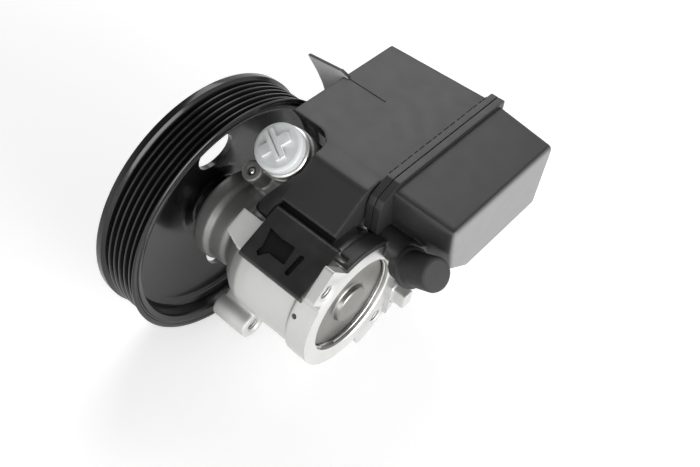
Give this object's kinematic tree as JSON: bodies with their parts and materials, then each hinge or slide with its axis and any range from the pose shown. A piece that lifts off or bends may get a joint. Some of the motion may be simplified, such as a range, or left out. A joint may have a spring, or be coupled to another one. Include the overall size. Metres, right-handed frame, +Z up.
{
  "type": "power steering pump",
  "caption": "Vane power steering pump with a ribbed belt pulley, cast aluminium body, clipped-on black plastic fluid reservoir, capped return nipple and plugged outlet.",
  "frame": {"origin": "centre of the drive shaft's front end face, in the plane of the pulley's front rim", "axes": "+X runs along the shaft from the pulley to the end cover, +Y points to the reservoir's filler end, +Z is up, square to the reservoir's large flat face"},
  "size_m": [0.1396, 0.1929, 0.138],
  "materials": {
    "cast_aluminium": "as cast, with machined faces",
    "pulley_paint": "gloss black paint",
    "shaft_steel": "ground",
    "bushing_bronze": "satin",
    "seal_rubber": "matte",
    "inner_steel": "ground",
    "spring_steel": "oiled",
    "ring_wire": "bright",
    "cover_steel": "satin, pressed",
    "union_steel": "zinc plated",
    "plug_plastic": "slightly translucent",
    "ball_steel": "polished",
    "reservoir_plastic": "satin black, moulded",
    "clip_steel": "dark phosphate coat",
    "cap_rubber": "matte, moulded"
  },
  "bodies": {
    "pump": {"housing": "cast_aluminium", "shaft_bushing": "bushing_bronze", "shaft_seal": "seal_rubber", "thrust_plate": "inner_steel", "cam_ring": "inner_steel", "pressure_plate": "inner_steel", "pressure_plate_o_ring": "seal_rubber", "pressure_plate_spring": "spring_steel", "dowel_pin_1": "inner_steel", "dowel_pin_2": "inner_steel", "end_cover": "cover_steel", "end_cover_o_ring": "seal_rubber", "end_cover_retaining_ring": "ring_wire", "outlet_union": "union_steel", "outlet_union_o_ring": "seal_rubber", "passage_plug": "ball_steel", "reservoir_front": "reservoir_plastic", "reservoir_rear": "reservoir_plastic", "filler_cap_gasket": "seal_rubber", "inlet_seal": "seal_rubber", "upper_clip": "clip_steel", "lower_clip": "clip_steel", "spool_spring": "spring_steel"},
    "rotating_group": {"pulley": "pulley_paint", "drive_shaft": "shaft_steel", "rotor": "inner_steel", "rotor_retaining_ring": "spring_steel"},
    "spool": {"flow_control_spool": "inner_steel"},
    "cap": {"filler_cap": "reservoir_plastic"},
    "plug": {"outlet_plug": "plug_plastic"},
    "dust_cap": {"return_dust_cap": "cap_rubber"},
    "vane_01_blade": {"vane_01": "inner_steel"},
    "vane_02_blade": {"vane_02": "inner_steel"},
    "vane_03_blade": {"vane_03": "inner_steel"},
    "vane_04_blade": {"vane_04": "inner_steel"},
    "vane_05_blade": {"vane_05": "inner_steel"},
    "vane_06_blade": {"vane_06": "inner_steel"},
    "vane_07_blade": {"vane_07": "inner_steel"},
    "vane_08_blade": {"vane_08": "inner_steel"},
    "vane_09_blade": {"vane_09": "inner_steel"},
    "vane_10_blade": {"vane_10": "inner_steel"}
  },
  "joints": [
    {"name": "pulley_spin", "type": "hinge", "parent": "pump", "child": "rotating_group", "pos_m": [0, 0, 0], "axis": [1, 0, 0], "continuous": true},
    {"name": "vane_01_slide", "type": "slide", "parent": "rotating_group", "child": "vane_01_blade", "axis": [0, 0.9511, 0.309], "range_m": [-0.002, 0]},
    {"name": "vane_02_slide", "type": "slide", "parent": "rotating_group", "child": "vane_02_blade", "axis": [0, 0.5878, 0.809], "range_m": [-0.002, 0]},
    {"name": "vane_03_slide", "type": "slide", "parent": "rotating_group", "child": "vane_03_blade", "axis": [0, 0, 1], "range_m": [-0.002, 0]},
    {"name": "vane_04_slide", "type": "slide", "parent": "rotating_group", "child": "vane_04_blade", "axis": [0, -0.5878, 0.809], "range_m": [-0.002, 0]},
    {"name": "vane_05_slide", "type": "slide", "parent": "rotating_group", "child": "vane_05_blade", "axis": [0, -0.9511, 0.309], "range_m": [-0.002, 0]},
    {"name": "vane_06_slide", "type": "slide", "parent": "rotating_group", "child": "vane_06_blade", "axis": [0, -0.9511, -0.309], "range_m": [-0.002, 0]},
    {"name": "vane_07_slide", "type": "slide", "parent": "rotating_group", "child": "vane_07_blade", "axis": [0, -0.5878, -0.809], "range_m": [-0.002, 0]},
    {"name": "vane_08_slide", "type": "slide", "parent": "rotating_group", "child": "vane_08_blade", "axis": [0, 0, -1], "range_m": [-0.002, 0]},
    {"name": "vane_09_slide", "type": "slide", "parent": "rotating_group", "child": "vane_09_blade", "axis": [0, 0.5878, -0.809], "range_m": [-0.002, 0]},
    {"name": "vane_10_slide", "type": "slide", "parent": "rotating_group", "child": "vane_10_blade", "axis": [0, 0.9511, -0.309], "range_m": [-0.002, 0]},
    {"name": "spool_travel", "type": "slide", "parent": "pump", "child": "spool", "axis": [0, 0.6, -0.8], "range_m": [0, 0.008], "stiffness_N_per_m": 1500, "springref_m": -0.01, "deforming": ["spool_spring"]},
    {"name": "filler_cap_pull", "type": "slide", "parent": "pump", "child": "cap", "axis": [0, 1, 0], "range_m": [0, 0.03]},
    {"name": "outlet_plug_pull", "type": "slide", "parent": "pump", "child": "plug", "axis": [0, -0.6, 0.8], "range_m": [0, 0.025]},
    {"name": "dust_cap_pull", "type": "slide", "parent": "pump", "child": "dust_cap", "axis": [0.7882, -0.1796, 0.5886], "range_m": [0, 0.03]}
  ]
}
